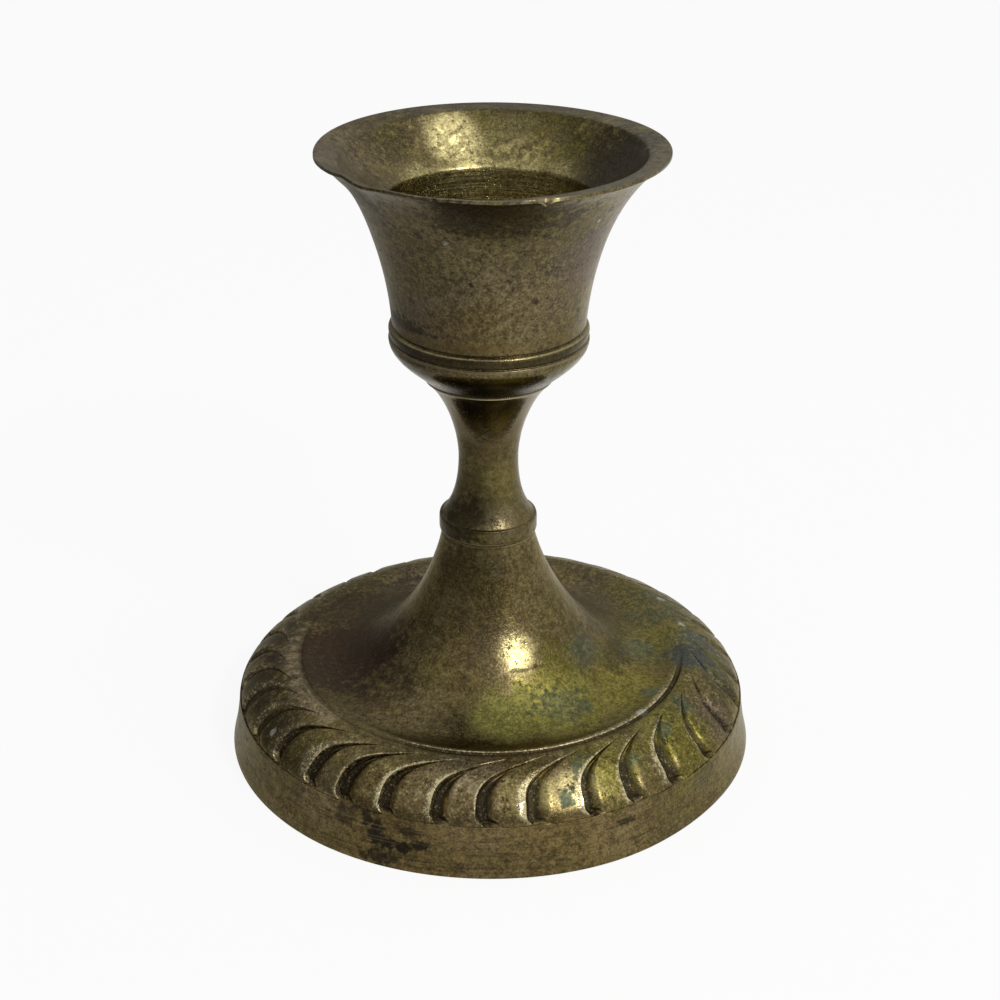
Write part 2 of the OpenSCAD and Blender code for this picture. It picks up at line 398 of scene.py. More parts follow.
def aged_brass(name, spots, bands=(), rough=0.30, pits=0.5, turning=0.5, glitter=0.03, scored=(),
               sleek=None, crevice=False, limb=(1, 0.97, 0.90), mottled=0.85):
    """Aged brass: a mottled olive skin over the metal, dark pits, coloured tarnish and fine turning lines.

    Spots gives the patches of each kind, tarnish as well as painted shade and highlight: radius, angle and
    height as in at_front, reach in millimetres, depth, and the squash of gap where there is one. Bands lists
    (low, high, depth, kind), all round, also painted shade and highlight. Scored lists (near, far, low,
    high), the radii and heights between which the turning lines stand out. Sleek gives two heights in
    millimetres between which the metal is smoother. With crevice, the grooves that the mesh keeps are
    darkened for grime and painted shade, and its crests paled for wear and painted highlight. Limb tints the
    metal where it is seen at a flat angle, and mottled is the strength of the light and dark flecks.
    """
    tones = bpy.context.scene.candle_brass
    f = Finish(bpy.data.materials.new(name))
    radius, height = (f.x * f.x + f.y * f.y) ** 0.5, f.z / MM
    broad = f.cloud(13 * MM, detail=3, roughness=0.5)
    middle = f.cloud(3.2 * MM, detail=4, roughness=0.6, shift=(3, 1, 2))
    fine = f.cloud(0.9 * MM, detail=3, roughness=0.6, shift=(1, 4, 2))
    grain = f.cloud(0.32 * MM, detail=2, roughness=0.6, shift=(2, 1, 6))
    round_about = f.add("ShaderNodeCombineXYZ", {}, radius + f.x * 0.05, f.y * 0.05, f.z)
    lines = f.cloud(0.35 * MM, detail=3, roughness=0.7, at=round_about)
    for near, far, low, high in scored:
        across = (radius / MM).rise(near - 0.2, near + 0.2) * (radius / MM).rise(far + 0.2, far - 0.2)
        upward = height.rise(low - 0.2, low + 0.2) * height.rise(high + 0.2, high - 0.2)
        turning = across * upward * 1.4 + turning

    def tint(mask, kind):
        return f.blend(mask, skin, tuple(getattr(tones, kind)))

    skin = tuple(tones.patina)
    hue = f.cloud(8 * MM, detail=4, roughness=0.6, shift=(9, 2, 4))
    skin = tint(hue.rise(0.50, 0.68) * 0.42 * mottled, "plum")
    skin = tint(hue.rise(0.48, 0.34) * 0.2 * mottled, "moss")

    ragged = middle * 0.5 + fine * 0.5
    dull, relief = 0, 0
    coarse = rough + (middle - 0.5) * 0.25 + (grain - 0.5) * 0.12
    for kind, (fray, coarser, duller, raised) in PATCHES.items():
        mask = None
        for out, angle, up, reach, depth, *squash in spots.get(kind, ()):
            away = f.gap(at_front(out, angle, up), *squash) / (reach * MM) + (ragged - 0.5) * 2 * fray
            patch = away.rise(PATCH_END, PATCH_FULL) * depth
            mask = mask.most(patch) if mask else patch
        if mask:
            skin = tint(mask * (0.8 + fine * 0.4).held(), kind)
            coarse = coarse + mask * coarser
            dull = mask * duller + dull
            relief = mask * raised + relief

    tone = (broad * 0.17 + middle * 0.12 + fine * 0.34 + grain * 0.37).rise(0.37, 0.63)
    mottle = (tone * 0.65 + tone * tone * 0.75 - 0.5) * mottled
    if sleek:
        calm = height.rise(sleek[0], sleek[0] + 1) * height.rise(sleek[1] + 1, sleek[1])
        mottle = mottle * (1 - calm * 0.5)
    skin = f.add("ShaderNodeVectorMath", {"operation": "SCALE"}, skin, Scale=0.95 + mottle)
    skin = tint(lines.rise(0.54, 0.66) * 0.25 * turning, "dark")
    skin = tint(lines.rise(0.45, 0.35) * 0.14 * turning, "fawn")
    if crevice:
        border = f.kept("border")
        glitter = border * 0.25 + glitter
        pits = border * 0.4 + pits
    skin = tint((grain * 0.6 + fine * 0.4).rise(0.56, 0.67) * glitter, "bare")
    dots = f.cloud(0.4 * MM, detail=2, roughness=0.6, shift=(5, 8, 1))
    dots = dots * 0.6 + fine * 0.4 + (middle - 0.5) * 0.3
    pitted = dots.rise(0.42, 0.34) * pits
    skin = tint(pitted * 0.85, "dark")
    for low, high, depth, kind in bands:
        above = height.rise(low - BAND_EDGE, low + BAND_EDGE)
        below = height.rise(high + BAND_EDGE, high - BAND_EDGE)
        skin = tint(above * below * depth * (0.7 + middle * 0.6).held(), kind)

    if crevice:
        groove, crown = f.kept("groove"), f.kept("crown")
        # Grooves darkened for grime and for the shade that falls in them: partly real, partly painted shade.
        dirt_and_shade = (groove + (fine - 0.5) * 1.2 + (grain - 0.5) * 1.2).rise(0.40, 0.85) * groove.rise(0.05, 0.25)
        skin = tint(dirt_and_shade * 0.92, "dark")
        glints = dirt_and_shade * (grain * 0.7 + fine * 0.3).rise(0.55, 0.64)
        skin = tint(glints * 0.6, "fawn")
        # Crests of the gadroons: paler metal along the groove edges, brightest where they face the lamps;
        # partly wear and partly painted highlight.
        skin = tint((crown * 2).held() * (0.4 + fine * 0.4), "fawn")
        rubbed_and_highlit = (crown + (grain - 0.5) * 3 + (fine - 0.5) * 1.5).rise(0.25, 0.85) * crown.rise(0.05, 0.3)
        skin = tint(rubbed_and_highlit * 0.85, "worn")
        coarse = coarse + dirt_and_shade * 0.2 - rubbed_and_highlit * 0.08
        dull = dirt_and_shade * 0.05 + dull
    coarse = coarse + pitted * 0.25
    dull = pitted * 0.35 + dull
    relief = relief + broad * 0.6 + middle * 0.5 + fine * 0.34 + grain * 0.22
    relief = relief + lines * 0.22 * turning - pitted * 0.5
    if sleek:
        coarse = coarse - calm * 0.14
        relief = relief * (1 - calm * 0.6)
    bump = f.add("ShaderNodeBump", {}, Strength=1.0, Distance=0.1 * MM, Height=relief)
    shader = f.add("ShaderNodeBsdfPrincipled", {}, Base_Color=skin, Metallic=(1 - dull).held(),
                   Roughness=coarse.most(0.09).least(0.8), Normal=bump, Specular_Tint=(*limb, 1))
    return f.close(shader)


def dull_steel(name):
    """Plain steel of the hidden washer and nut, dulled and a little rusty."""
    f = Finish(bpy.data.materials.new(name))
    middle = f.cloud(2 * MM, detail=5, roughness=0.6)
    fine = f.cloud(0.4 * MM, detail=3)
    skin = f.blend(((middle - 0.35) / 0.25).held(), (0.16, 0.15, 0.13), (0.27, 0.25, 0.22))
    rust = (middle * 0.7 + fine * 0.3).rise(0.52, 0.66)
    skin = f.blend(rust * 0.7, skin, (0.15, 0.06, 0.025))
    bump = f.add("ShaderNodeBump", {}, Strength=0.4, Distance=0.08 * MM, Height=middle + rust * 0.5)
    shader = f.add("ShaderNodeBsdfPrincipled", {}, Base_Color=skin, Metallic=1 - rust * 0.8,
                   Roughness=0.38 + rust * 0.4, Normal=bump)
    return f.close(shader)


# Pieces

JOINT_CUP = cup_low.z / MM
JOINT_FOOT = foot_high.z / MM
THREAD = 3.0
HOLE = 3.25
TURNED_SIDES = {"cup": 320, "stem": 192, "washer": 96, "nut": 6 * 16}
FUNNEL_SHARES = ((0.28, 0.38), (0.62, 0.72))
SKIRT_SHARES = ((0.518, 0.33), (0.852, 0.67))
BORDER_SHARES = ((0.02, 0.28), (0.46, 0.86))
DOME_SHARES = ((0.499, -0.207), (0.914, 0.558))
BORDER_ROWS = 34
# Where the columns of the mesh lie between one groove and the next
COLUMN_SHARES = (0, 0.015, 0.03, 0.045, 0.06, 0.09, 0.125, 0.165, 0.21, 0.26, 0.31, 0.37, 0.44, 0.53, 0.64,
                 0.75, 0.86, 0.94)

# How far each groove strays from even spacing, in degrees, from back left round the front to back right
STRAYS = (0, 0.6, 1.2, 0.7, -0.4, -1.8, -1.5, -0.4, -0.1, -1.5, -1.5, -0.5, -0.8, -1.4, 0.7, 0.4, 0.7, 3.3,
          3.6, 4.2, 3.0, 1.5)
FIRST_STRAY = 21
# Painted shade along the foot of the border and on the ledge under it
SEAM_SHADE, LEDGE_SHADE = 0.45, 0.35
# How far the back left of the foot has sunk and drawn in
BACK_SUNK, BACK_DRAWN_IN = 0.65 * MM, 0.3 * MM
# Where the grooves start to fade, and where they start to turn, as shares of the border's run
FADE_SHARE, SWEEP_SHARE = 0.58, 0.3

# Patches by kind, mostly tarnish and stains, some painted shade and highlight: radius, angle from the front,
# height, reach, depth and sometimes squash
CUP_SPOTS = {
    # Of the dark patches, the one at the front just under the rim paints a dark reflection, the two long
    # ones at 66.7 on the left paint the shade on the bead, and those on the bowl under the bead paint the
    # shade of its underside.
    "dark": [(18, 112, 85.3, 8, 0.7), (17.5, 118, 84.5, 11, 0.35), (17.5, 88, 85, 6, 0.6),
        (19, 3, 85.3, 7, 0.62, (0.62, 0.62, 1.7)), (13.8, -62, 66.7, 8, 0.8, (1, 1, 7)),
        (13.8, -100, 66.7, 7, 0.6, (1, 1, 7)), (22.7, -60, 88, 7, 0.5), (22.7, -130, 88, 9, 0.45),
        (12, -50, JOINT_CUP + 4.3, 4, 0.5), (23, 180, 88.3, 20, 0.5, (1, 0.6, 3)),
        (21.5, -95, 87.5, 6, 0.35),
        *[(9.9, angle, JOINT_CUP + 1.4, 3.6, 1) for angle in (-26, -8, 10, 28, 42)],
        (15, -10, 74.9, 0.45, 0.9), (13.7, 57.5, 68.7, 0.55, 0.8), (14.3, 22.5, 72, 0.6, 0.7),
        (14.3, 19.5, 72.8, 0.5, 0.6)],
    "russet": [(18, 100, 85.3, 6, 0.4), (15.8, 56, 76.5, 4, 0.5, (1, 1, 0.6))],
    "plum": [(13.8, -36, 68.5, 5, 0.6), (18, -60, 84, 5, 0.5), (16, 52, 77, 6.5, 0.7)],
    "moss": [(17.5, 150, 85, 7, 0.5), (17.5, -170, 85, 6, 0.5)],
    "ochre": [(17.5, 158, 85, 4, 0.5), (14, -12, 66, 7, 0.45), (22.5, -90, 88, 10, 0.6, (1, 0.7, 1))],
    # The first four bare patches paint light and highlight: they lighten the shaded well wall and the back
    # of the funnel and paint the funnel's highlight and the bright well lip.
    "bare": [(9.5, 178, 75.5, 10, 0.95, (0.62, 1.5, 0.9)), (14, 170, 83, 8, 0.25),
        (17.5, -162, 85.2, 5, 0.85), (13.9, -170, 81.8, 2.2, 0.8, (0.6, 1, 1)), (23.2, 19, 88.3, 1, 0.8)],
    "fawn": [(14.5, -8, 74, 15, 0.22), (15, -50, 76, 9, 0.2), (23.2, -14, 88.2, 7, 0.7),
        (23.2, 12, 88.2, 6, 0.6, (1, 1, 2))],
    "ash": [(17.2, -20, 81, 0.5, 0.25), (14.2, 30, 67.7, 0.35, 0.8), (18, 48, 82.6, 0.4, 0.6)],
}
STEM_SPOTS = {
    # The dark patches on the left of the knop and its band paint shade on the side away from the lamps.
    "dark": [(6, -42, 36.5, 4, 0.7), (6.9, -60, 34.5, 2.5, 0.4)],
    "fawn": [(7.5, 0, 54.5, 7, 0.55), (6, 12, 36.9, 3, 0.35)],
    "moss": [(4.5, 20, 42, 4, 0.2)],
    "russet": [(4.3, -10, 47, 3.5, 0.25)],
}
FOOT_SPOTS = {
    # The broad dark patches on the left and back left of the dome and of the border paint shade on the side
    # away from the lamps.
    "dark": [(37.2, -26, 6.2, 1, 0.9, (1, 1, 0.8)), (37.5, -23.8, 4.2, 1.5, 1, (1.1, 1.1, 0.8)),
        (37.6, -21, 3.2, 1.4, 1, (0.8, 1, 1.3)), (37.5, -17.6, 3.2, 1.2, 1, (0.8, 1, 1.4)),
        (37.4, -14.4, 3.9, 1.1, 0.95, (0.9, 1, 1.2)), (37.8, -22.5, 1.2, 1.9, 0.85, (0.6, 1, 1.5)),
        (37.3, -16.5, 5.8, 0.9, 0.7, (0.6, 1, 1.6)), (37.6, 4, 2, 1.2, 0.4),
        (37.3, 53, 5.9, 2.6, 0.45, (0.6, 0.6, 1.3)), (37.3, 29.5, 5.4, 1.2, 0.7, (0.7, 1, 2.2)),
        (23, -131, 12.5, 9, 0.5), (20, -75, 14, 9, 0.5), (14.4, 20, 17.3, 1.3, 0.7, (0.5, 0.5, 5)),
        (14.3, 26.5, 17.6, 0.5, 0.9), (35, -78, 10, 8, 0.6), (35, -100, 10, 8, 0.65),
        (35.5, -56, 9.5, 4.5, 0.45), (24.7, -47.5, 12.3, 1.3, 0.3), (24, -112, 12.8, 7, 0.4),
        (37.3, -31, 5.5, 1.6, 0.5), (37.3, -44, 6, 1.3, 0.4), (37.6, -6, 1.6, 1.6, 0.45, (1, 1, 2)),
        (37.5, 12, 2.6, 1.2, 0.4, (1, 1, 2)), (37.2, 3, 5.6, 2, 0.3, (1, 1, 5)), (14.7, 93, 16.9, 3, 0.45),
        (19.5, 82, 13.8, 3, 0.45, (0.5, 0.5, 3)), (34.5, 78, 10.5, 3.5, 0.4)],
    "moss": [(37.3, 50, 6.2, 3.2, 0.6, (0.7, 0.7, 1.4)), (19.5, 35, 13.8, 9, 0.75), (23, 62, 12.8, 8, 0.75),
        (26, 95, 12.8, 9, 0.5), (33, 30, 11.5, 6, 0.6), (33, 52, 11.5, 7, 0.7), (30, 125, 12.9, 8, 0.5),
        (34, 8, 11, 4, 0.3), (21.8, 51.5, 12.5, 3, 0.6)],
    "russet": [(21, -58, 14, 8, 0.45), (21.5, -86, 12.8, 12.5, 1), (22.5, -116, 12.8, 9, 0.7),
        (24, -58, 12.5, 6, 0.5), (8, -40, 29, 4, 0.4), (33, -60, 11.5, 5, 0.3), (26.5, 58, 12.7, 3, 0.2)],
    "ochre": [(37.5, 0, 4, 34, 0.7, (1, 1, 4)), (12, 0, 22, 10, 0.4), (20.4, 70.5, 12.9, 4.5, 0.7),
        (17.2, 62, 15, 2.5, 0.5), (24, 72, 12.8, 5, 0.6), (21, 52, 13.2, 3, 0.5)],
    "fawn": [(34, -4, 11, 7.5, 0.75, (1, 1, 0.6)), (35, -16, 10, 4, 0.35), (12.5, 10, 19.5, 5, 0.35),
        *[(29.5, angle, 12.9, 1.9, 0.75, (1, 1, 0.6)) for angle in range(-100, -48, 5)],
        (37, -38, 6, 5, 0.5), (37.2, 28, 5, 6, 0.3)],
    "plum": [(23, 135, 12.5, 7, 0.6), (24, -150, 12.5, 6, 0.6), (35, 66, 10, 4.5, 0.6)],
    "ash": [(35.4, -59, 9.8, 0.6, 0.5, (1, 1, 0.5)), (27.3, 51, 12.8, 0.9, 0.9),
        (30.5, 120, 12.8, 0.8, 0.5), (29.8, 104, 12.9, 0.7, 0.5), (33.4, 24, 11.4, 0.5, 0.6)],
    "lime": [(19.8, 5, 13.2, 5, 0.85), (18, 14, 14.1, 3, 0.8), (18.3, 44, 14, 2.8, 0.5),
        (21, 24, 13.1, 4, 0.5)],
    # These bare patches paint the highlight on the dome and on the front right lobes that face the lamps.
    "bare": [(12.8, 18, 19.3, 3.2, 0.5), (34.5, 20, 10.8, 3.5, 0.35), (34.5, 12, 10.8, 2.5, 0.25)],
    "verdigris": [(15.2, 64, 16.5, 3.6, 0.45, (1, 1, 1.5)), (19.2, 31, 13.6, 3.4, 0.42),
        (21, 40, 13, 1.4, 0.5), (26, 64, 12.6, 1.8, 0.6), (35.4, 16.5, 9.9, 1.5, 0.85),
        (32.6, 22.5, 12, 2, 0.7), (22.1, 91, 12.6, 3, 0.5), (30.5, 97, 12.8, 3, 0.7),
        (31, 62, 12.5, 1.8, 0.6), (33.2, 35.5, 11.5, 1.5, 0.5), (31, 116, 12.7, 7, 0.4),
        (32, 90, 12.4, 7, 0.35), (31.5, 49.5, 12.4, 1.5, 0.55), (30.6, 63, 12.7, 1.6, 0.5)],
    "slate": [(29.6, 86, 12.9, 3.9, 0.95), (31.6, 96, 12.4, 3.2, 0.7)],
}


class CANDLE_OT_cup(bpy.types.Operator):
    """Turn the bell cup with its flange, funnel, well and beads"""
    bl_idname = "candle.cup"
    bl_label = "Cup"

    def execute(self, context):
        size = context.scene.candle_cup
        rim, seat, wall = size.rim_radius / MM, size.seat_radius / MM, size.wall / MM
        bottom, top = JOINT_CUP, cup_high.z / MM
        edge = size.edge / MM
        bead, bell = bottom + 5.8, bottom + 7.7
        bead_r, bell_r = seat + wall + 0.5, seat + wall
        lip_r, lip = seat + 2.5, top - 6.6
        flange_r = rim - size.flange / MM
        bowl_start, bowl_shares = (8.97, bottom), ((0.36, 0.30), (1, 0.60))
        bell_start, bell_end = (bell_r, bell + 0.1), (rim - 0.05, top - edge)
        bell_shares = ((0.039, 0.31), (0.355, 0.869))
        flange_end = (flange_r, top - 0.3)
        tapped = bottom + 4.65
        seat_top = bead + size.seat_depth / MM
        points = rounded([
            (0, tapped), (THREAD + 0.05, tapped), (THREAD + 0.05, bottom),
            bowl_start, *curve(bowl_start, (bead_r, bead - 0.05), bowl_shares, 24), (bead_r, bead, 0.12),
            (bead_r - 0.3, bead + 0.14, 0.08), (bead_r - 0.16, bead + 0.4, 0.2),
            (bead_r - 0.02, bead + 1.2, 0.3),
            (bead_r - 0.1, bell - 0.3, 0.3), (bell_r - 0.1, bell - 0.03, 0.05), bell_start,
            *curve(bell_start, bell_end, bell_shares, 60), bell_end,
            (rim, top - edge + 0.06), (rim, top, 0.1),
            *[(rim - 0.4 + (flange_r + 0.8 - rim) * i / 4, top - 0.05 - 0.17 * i / 4) for i in range(5)],
            (*flange_end, 0.3), *curve(flange_end, (lip_r, lip), FUNNEL_SHARES, 24), (lip_r, lip, 0.3),
            *[(lip_r - 0.92 * i / 8, lip - 5.5 * i / 8) for i in range(1, 9)],
            (seat, seat_top), (seat, bead + 4), (seat, bead, 0.3), (0, bead),
        ])
        bm = turned(points, TURNED_SIDES["cup"], closed=False)
        wander(bm, 0.05 * MM, 9 * MM, keep_below=bottom * MM + 0.0005)
        self.knock(bm, size, rim * MM, top * MM)
        leaning(bm)
        # The two dark bands on the bead and the thin dark line at the foot of the bell are painted shade;
        # the worn band just under the bell is a painted highlight; the fawn line on the bead's lip is worn
        # metal and partly a painted highlight.
        bands = [
            (bell + 0.15, bell + 1.8, 0.35, "ochre"), (bead + 0.15, bell - 0.42, 0.5, "dark"),
            (bead + 0.35, bell - 0.66, 0.5, "dark"), (bell - 0.06, bell + 0.1, 0.3, "dark"),
            (bell - 0.36, bell - 0.2, 0.3, "worn"), (bead - 0.3, bead + 0.1, 0.55, "fawn"),
            (bottom - 0.1, bottom + 0.16, 0.4, "worn"),
        ]
        material = aged_brass("aged brass of the cup", CUP_SPOTS, bands, pits=0.6,
                              scored=[(11, 14, 74, 81.6)], sleek=(bottom - 1, bottom + 4.2))
        finished("candle_cup_brass", bm, "candle_cup", material)
        return {"FINISHED"}

    def knock(self, bm, size, rim, top):
        """Draws the front of the rim in, folds and nicks its edge, and dishes the flange on the left."""
        bm.normal_update()
        mouth = rim - size.flange
        for v in bm.verts:
            out = math.hypot(v.co.x, v.co.y)
            if out < rim * 0.70 or v.co.z < top - 5 * MM:
                continue
            angle = math.degrees(math.atan2(v.co.x, -v.co.y))
            edge = smooth(rim * 0.78, rim, out)
            front = 1 - smooth(50, 95, abs(angle))
            fold = hump(angle, -55, 4) * 0.22 - hump(angle, -45, 6) * 0.25
            wave = hump(angle, 2, 9) * 0.12 + hump(angle, -22, 7) * 0.10
            lift = 0.10 * front + fold - wave * 0.8
            draw = 0.38 * front - 0.35 * hump(angle, 120, 30) - 0.3 * hump(angle, -72, 14)
            notch = hump(angle, 16.8, 1.5) * smooth(rim * 0.955, rim, out)
            dish = smooth(rim * 0.72, mouth, out) * (1 - smooth(mouth, rim * 0.99, out))
            dish *= smooth(5, 2.5, (top - v.co.z) / MM)
            dish *= smooth(-165, -115, angle) * (1 - smooth(-50, 45, angle))
            if v.normal.z < 0.1:
                dish *= 1 - smooth(-88, -66, angle)
            v.co.z += edge * lift * MM - notch * size.nick - dish * size.dish
            pull = edge * draw * MM + notch * size.nick * 0.8
            v.co.x -= pull * v.co.x / out
            v.co.y -= pull * v.co.y / out


class CANDLE_OT_stem(bpy.types.Operator):
    """Turn the stem with its band, waist, collar and spigots"""
    bl_idname = "candle.stem"
    bl_label = "Stem"

    def execute(self, context):
        size = context.scene.candle_stem
        waist_r, band_r, thread = size.waist / MM, size.band / MM, size.thread / MM
        low, knop, waist, top = JOINT_FOOT, JOINT_FOOT + 2.4, JOINT_FOOT + 11, JOINT_CUP
        end = stem_low.z / MM
        flare_start = (band_r - 0.35, knop)
        flare_end = (8.84, top - 0.3)
        collar_r = 8.95
        lower_shares = ((0.619, 0.195), (1, 0.524))
        upper_shares = ((0, 0.326), (0.359, 0.764))
        nut_bottom = nut_low.z / MM
        grooves = []
        z = end + 0.35
        pitch = size.pitch / MM
        while z + pitch < nut_bottom + 0.2:
            grooves += [(thread, z), (thread, z + 0.2 * pitch), (thread - 0.45, z + 0.55 * pitch),
                        (thread - 0.45, z + 0.65 * pitch)]
            z += pitch
        points = rounded([
            (0, end), (thread - 0.5, end), (thread - 0.1, end + 0.3), *grooves,
            (thread, nut_bottom + 0.3), (thread, low),
            (band_r - 0.12, low, 0.1), (band_r, low + 0.25, 0.25), (band_r, knop - 0.35, 0.3),
            (band_r - 0.12, knop, 0.15), flare_start,
            *curve(flare_start, (waist_r, waist), lower_shares, 24),
            (waist_r, waist), *curve((waist_r, waist), flare_end, upper_shares, 30), flare_end,
            (collar_r, top - 0.26, 0.04), (collar_r, top, 0.1), (thread, top),
            (thread, top + 4.2), (thread - 0.3, top + 4.4), (0, top + 4.4),
        ])
        bm = turned(points, TURNED_SIDES["stem"], closed=False)
        wander(bm, 0.03 * MM, 7 * MM, keep_below=low * MM + 0.0003)
        leaning(bm)
        # The dark band at the knop is painted shade in the crease between the band and the flare.
        bands = [(low - 0.1, low + 0.32, 0.5, "worn"), (knop - 0.1, knop + 0.1, 0.2, "dark"),
                 (top - 0.34, top - 0.1, 0.4, "worn")]
        material = aged_brass("aged brass of the stem", STEM_SPOTS, bands, rough=0.33,
                              sleek=(waist + 3, top + 1), mottled=0.55)
        finished("stem_brass", bm, "stem", material)
        return {"FINISHED"}


class CANDLE_OT_foot(bpy.types.Operator):
    """Cast the foot with its skirt, swirled gadroons, ring groove and dome"""
    bl_idname = "candle.foot"
    bl_label = "Foot"

    def execute(self, context):
        size = context.scene.candle_foot
        self.measure(size)
        outline = self.outline()
        bm = turned([p for p, _ in outline], size.lobes * len(COLUMN_SHARES),
                    shares=[share for _, share in outline])
        self.gadroon(bm, size)
        wander(bm, 0.05 * MM, 11 * MM, keep_below=0.0005)
        wander(bm, 0.03 * MM, 2.6 * MM, keep_below=0.0005)
        leaning(bm)
        bmesh.ops.recalc_face_normals(bm, faces=bm.faces)
        bands = [(JOINT_FOOT - 0.3, JOINT_FOOT + 0.1, 0.5, "fawn")]
        material = aged_brass("aged brass of the foot", FOOT_SPOTS, bands, scored=[(36.8, 39, 0, 7.5)],
                              crevice=True, limb=(0.90, 0.84, 0.70))
        finished("foot_brass", bm, "foot", material)
        return {"FINISHED"}

    def measure(self, size):
        """Works out the main places of the outline, in millimetres."""
        self.base, self.skirt = size.radius / MM, size.skirt / MM
        self.shoulder = self.base - 1.2
        self.border = (self.shoulder - 0.2, self.skirt)
        self.crest = (self.border[0] - size.border_width / MM, self.skirt + size.border_height / MM)
        self.ring = self.crest[0] - 1.1
        self.dome = (self.ring - 0.8, self.crest[1] - 0.1)

    def outline(self):
        """The points, each with its share of the way up the border, or -1 behind the border."""
        base, skirt, shoulder, border, crest = self.base, self.skirt, self.shoulder, self.border, self.crest
        ring, dome, neck, ceiling = self.ring, self.dome, (6.7, JOINT_FOOT - 1), washer_high.z / MM
        inner = self.beside(border, crest, BORDER_SHARES, 8, 2.87)
        under_dome = [p for p in self.beside(dome, neck, DOME_SHARES, 26, 2.4) if p[1] < ceiling]
        rows = [i / BORDER_ROWS for i in range(BORDER_ROWS + 1)]
        return [
            ((base - 0.1, 0), 0), ((base - 0.03, 0.03), 0), ((base, 0.12), 0),
            *[(p, 0) for p in curve((base, 0.12), (shoulder, skirt - 0.25), SKIRT_SHARES, 10)],
            ((shoulder, skirt - 0.25), 0), ((shoulder - 0.03, skirt - 0.1), 0),
            ((shoulder - 0.12, skirt - 0.06), 0), ((border[0], skirt - 0.12), 0),
            *[(cubic(border, crest, BORDER_SHARES, t), t) for t in rows],
            ((crest[0] - 0.5, crest[1] + 0.01), 1), ((ring + 0.16, crest[1]), 1),
            ((ring + 0.02, crest[1] - 0.07), 1), ((ring - 0.14, crest[1] - 0.34), 1),
            ((ring - 0.32, crest[1] - 0.45), 1), ((ring - 0.55, crest[1] - 0.42), 1),
            ((dome[0] + 0.10, dome[1] - 0.12), 1), ((dome[0] + 0.02, dome[1]), 1),
            ((dome[0] - 0.12, dome[1] + 0.02), 1),
            *[(p, 1) for p in curve(dome, neck, DOME_SHARES, 48)[1:]],
            (neck, 1), ((neck[0], JOINT_FOOT - 0.1), 1), ((neck[0] - 0.1, JOINT_FOOT), 1),
            *[((HOLE, JOINT_FOOT + (ceiling - JOINT_FOOT) * i / 4), 1 - i / 4) for i in range(5)],
            *[(p, 0) for p in reversed(under_dome)],
            *[(p, -1) for p in reversed(inner)],
            ((base - 3.8, skirt), -1), ((base - 2.6, 0.2), 0), ((base - 2.8, 0), 0),
        ]

    def gadroon(self, bm, size):
        """Cuts the swirled grooves into the border, wears and bends the foot, and keeps the painted grime
        and shade of the grooves and the worn and highlighted crests.
        """
        border, crest, skirt, ring, dome = self.border, self.crest, self.skirt, self.ring, self.dome
        columns = len(COLUMN_SHARES)
        kept = bm.verts.layers.float["share"]
        layers = bm.verts.layers.float
        groove, crown, border_layer = [layers.new(name) for name in ("groove", "crown", "border")]
        pitch = ROUND / size.lobes
        for v in bm.verts:
            r, z = math.hypot(v.co.x, v.co.y), v.co.z
            share = v[kept]
            lobe, column = divmod(round(math.atan2(v.co.y, v.co.x) / pitch * columns), columns)
            aside = COLUMN_SHARES[column]
            angle = (lobe + aside) * pitch + size.start
            facing = math.degrees(angle - FRONT + math.pi) % 360 - 180
            short_of_back = smooth(178, 125, -facing)
            # Strength of the painted crest highlight by how the lobe faces the lamps.
            highlight_by_facing = 1 - (0.85 if facing > 0 else 0.75) * smooth(24, 58, abs(facing - 3))
            # How dark the painted shade at the foot of the border is, darkest at the front.
            seam_shade_by_facing = 1 - 0.7 * smooth(25, 50, abs(facing))
            over_border = (crest[0] - 0.01) * MM < r < (border[0] + 0.02) * MM
            if share >= 0 and over_border and z > (skirt - 0.001) * MM:
                slant = 0.05 * math.sin(lobe * 2.4 + 1) + 0.03 * math.sin(lobe * 5.1)
                strength = 1 + 0.15 * math.sin(lobe * 3.7 + 2)
                strength *= 1 - 0.5 * smooth(40, 80, -facing) * short_of_back
                width = (1 - 0.70 * smooth(0.55, 1, share)) * (1 + 0.14 * math.sin(lobe * 1.9))
                deep = self.groove_at(aside, width) * self.fade(share) * (0.5 + 0.5 * smooth(0, 0.10, share))
                along = slope(border, crest, BORDER_SHARES, share)
                inward = Vector((-1, 0)) if share == 0 else Vector((-along.y, along.x))
                push = inward * (deep * size.lobe_depth * (strength if share > 0.02 else 1))
                r, z = r + push.x, z + push.y
                angle += slant * pitch * math.sin(math.pi * share)
                angle += math.radians(1.2) * (1 - smooth(0, 0.22, share))
                # Painted shade along the foot of the border.
                seam_painted_shade = SEAM_SHADE * seam_shade_by_facing * (1 - smooth(0, 0.06, share))
                # Grime and painted shade in the grooves, weaker on the left.
                dirt_and_shade = max(deep * (1 - 0.5 * smooth(0.6, 0.9, share)), seam_painted_shade)
                dirt_and_shade *= 1 - 0.65 * smooth(38, 75, -facing) * short_of_back
                # Wider dark across the groove floors on the right: grime and painted shade.
                crust = smooth(42, 62, facing) * smooth(125, 95, facing) * (1 - smooth(0.10, 0.46, aside))
                v[groove] = max(dirt_and_shade, 0.9 * crust * self.fade(share) * smooth(0.04, 0.14, share))
                # Crests along the groove edges: wear and painted highlight.
                v[crown] = self.edge_at(aside, smooth(30, 60, -facing)) * highlight_by_facing
                v[crown] *= smooth(1.05, 0.8, share) * smooth(0.02, 0.12, share)
                v[border_layer] = 1
            elif (dome[0] + 0.05) * MM < r < (ring + 0.1) * MM and z > (crest[1] - 0.5) * MM:
                worn_away = max(0.85 * smooth(55, 75, facing), 0.85 * smooth(100, 130, -facing),
                                0.45 * smooth(25, 50, -facing))
